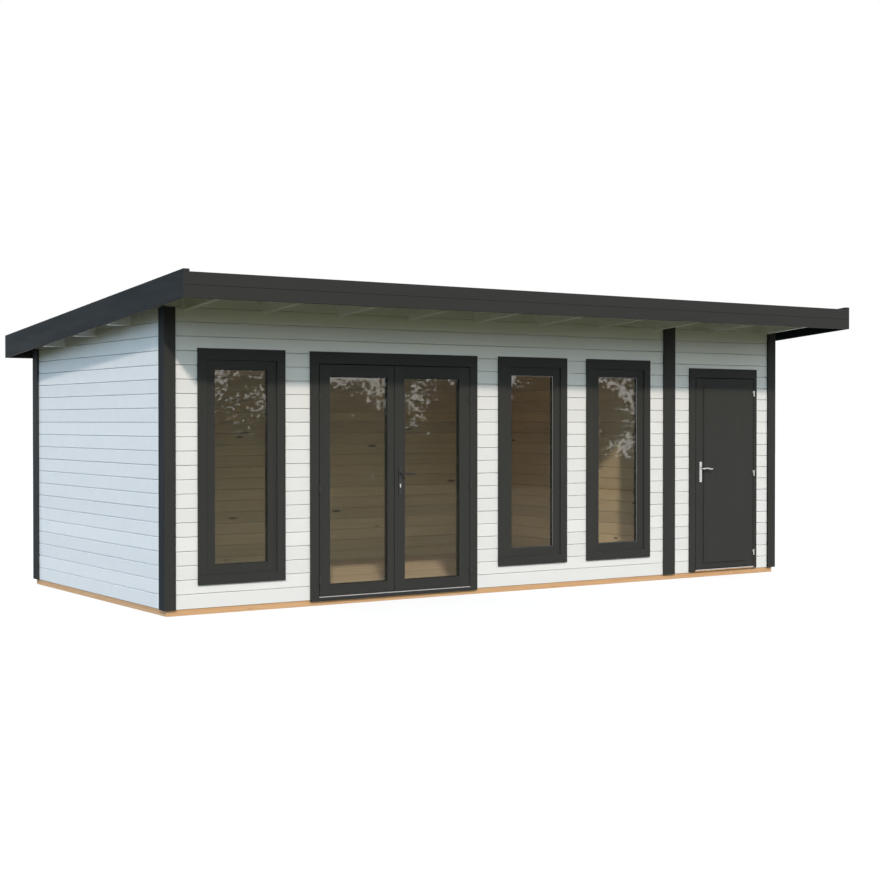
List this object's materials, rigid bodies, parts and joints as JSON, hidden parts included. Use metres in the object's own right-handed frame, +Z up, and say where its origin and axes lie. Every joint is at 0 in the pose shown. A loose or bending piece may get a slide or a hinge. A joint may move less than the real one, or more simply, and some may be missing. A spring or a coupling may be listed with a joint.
{
  "type": "guest cabin",
  "caption": "Board-walled guest cabin with tall windows, a glazed double door, a separate storage room and a single-pitch canopy roof.",
  "frame": {"origin": "on the ground, under the middle of the roof's outline", "axes": "+X to the right along the front, as seen from the front; -Y out of the front with the doors; +Z up"},
  "size_m": [7.132, 4.058, 2.668],
  "materials": {
    "white_paint": "opaque white wood paint on planed boards",
    "dark_paint": "opaque anthracite wood paint, satin",
    "pine": "bare planed pine",
    "impregnated": "impregnated softwood",
    "felt": "black mineral roofing felt",
    "glass": "clear double glazing",
    "silver": "satin stainless steel",
    "black_steel": "black powder coat",
    "aluminium": "mill-finished strip"
  },
  "bodies": {
    "cabin": {"base_beams_long": "impregnated", "base_beams_side": "impregnated", "floor_joists": "impregnated", "floor_boards": "pine", "front_wall_left": "white_paint", "front_wall_over_main_door": "white_paint", "front_wall_middle": "white_paint", "front_wall_over_storage_door": "white_paint", "front_wall_right": "white_paint", "back_wall": "white_paint", "left_wall": "white_paint", "right_wall": "white_paint", "partition_wall": "pine", "corner_trims": "dark_paint", "partition_trims": "dark_paint", "purlins": "pine", "canopy_rafters": "white_paint", "roof_deck": "pine", "roof_covering": "felt", "front_fascia": "dark_paint", "back_fascia": "dark_paint", "left_barge_board": "dark_paint", "right_barge_board": "dark_paint", "verge_caps": "dark_paint", "window_casings": "dark_paint", "window_jambs": "dark_paint", "window_inner_casings": "dark_paint", "window_sashes": "dark_paint", "window_panes": "glass", "door_casings": "dark_paint", "door_jambs": "dark_paint", "door_inner_casings": "dark_paint", "door_stops": "dark_paint", "main_door_sill": "dark_paint", "storage_door_sill": "impregnated", "threshold_strips": "aluminium", "main_frame_hinges": "black_steel", "storage_frame_hinges": "silver"},
    "left_leaf": {"left_leaf": "dark_paint", "left_leaf_pane": "glass", "left_leaf_hinges": "black_steel"},
    "right_leaf": {"right_leaf": "dark_paint", "right_leaf_pane": "glass", "right_leaf_hinges": "black_steel", "main_handle_plates": "black_steel"},
    "storage_leaf": {"storage_leaf": "dark_paint", "storage_leaf_panel": "dark_paint", "storage_leaf_hinges": "silver", "storage_handle_plates": "silver"},
    "main_lever": {"main_lever": "black_steel"},
    "storage_lever": {"storage_lever": "silver"}
  },
  "joints": [
    {"name": "left_leaf_hinge", "type": "hinge", "parent": "cabin", "child": "left_leaf", "pos_m": [-1.9755, -1.238, 1], "axis": [0, 0, -1], "range_deg": [0, 110]},
    {"name": "right_leaf_hinge", "type": "hinge", "parent": "cabin", "child": "right_leaf", "pos_m": [-0.4455, -1.238, 1], "axis": [0, 0, 1], "range_deg": [0, 110]},
    {"name": "storage_leaf_hinge", "type": "hinge", "parent": "cabin", "child": "storage_leaf", "pos_m": [3.0545, -1.238, 1], "axis": [0, 0, 1], "range_deg": [0, 110]},
    {"name": "main_lever_turn", "type": "hinge", "parent": "right_leaf", "child": "main_lever", "pos_m": [-1.18, -1.23, 1.088], "axis": [0, 1, 0], "range_deg": [0, 40], "stiffness_Nm_per_rad": 1.5, "springref_deg": -28.65},
    {"name": "storage_lever_turn", "type": "hinge", "parent": "storage_leaf", "child": "storage_lever", "pos_m": [2.326, -1.23, 1.077], "axis": [0, 1, 0], "range_deg": [0, 40], "stiffness_Nm_per_rad": 1.5, "springref_deg": -28.65}
  ]
}
